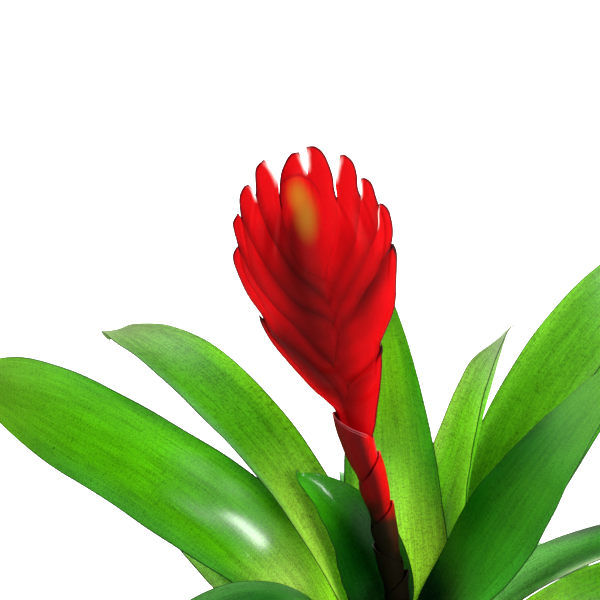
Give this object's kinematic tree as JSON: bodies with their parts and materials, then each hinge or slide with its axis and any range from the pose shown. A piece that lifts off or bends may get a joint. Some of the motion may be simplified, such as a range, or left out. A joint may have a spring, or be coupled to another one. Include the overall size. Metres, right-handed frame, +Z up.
{
  "type": "flaming sword bromeliad",
  "caption": "Flaming sword bromeliad plant with a rosette of arching strap leaves and a flat two-ranked sword of red bracts on a leaning stalk, with no pot",
  "frame": {"origin": "middle of the flat foot of the stock, on the surface the plant rests on", "axes": "+Z up, square to the flat foot; +X along the flat side of the sword to the right; -Y to the front of the sword's flat side"},
  "size_m": [0.4231, 0.3677, 0.2765],
  "materials": {
    "leaf": "glossy living leaf, thin enough to glow yellow-green when lit from behind",
    "bract": "satin waxy red",
    "sheath": "satin, dark red brown with dry tips",
    "stalk": "matte dark red, browner low down",
    "stock": "rough fibrous brown"
  },
  "bodies": {
    "root": {"bract_left_1": "bract", "bract_left_2": "bract", "bract_left_3": "bract", "bract_left_4": "bract", "bract_left_5": "bract", "bract_left_6": "bract", "bract_right_1": "bract", "bract_right_2": "bract", "bract_right_3": "bract", "bract_right_4": "bract", "bract_right_5": "bract", "bract_right_6": "bract", "flower_stalk": "stalk", "inner_bud": "bract", "leaf_01": "leaf", "leaf_02": "leaf", "leaf_03": "leaf", "leaf_04": "leaf", "leaf_05": "leaf", "leaf_06": "leaf", "leaf_07": "leaf", "leaf_08": "leaf", "leaf_09": "leaf", "leaf_10": "leaf", "leaf_11": "leaf", "leaf_12": "leaf", "leaf_13": "leaf", "leaf_14": "leaf", "leaf_15": "leaf", "leaf_16": "leaf", "leaf_17": "leaf", "leaf_18": "leaf", "root_stock": "stock", "stalk_sheath_1": "sheath", "stalk_sheath_2": "sheath", "stalk_sheath_3": "sheath", "stalk_sheath_4": "sheath", "stalk_sheath_5": "sheath"}
  },
  "joints": []
}
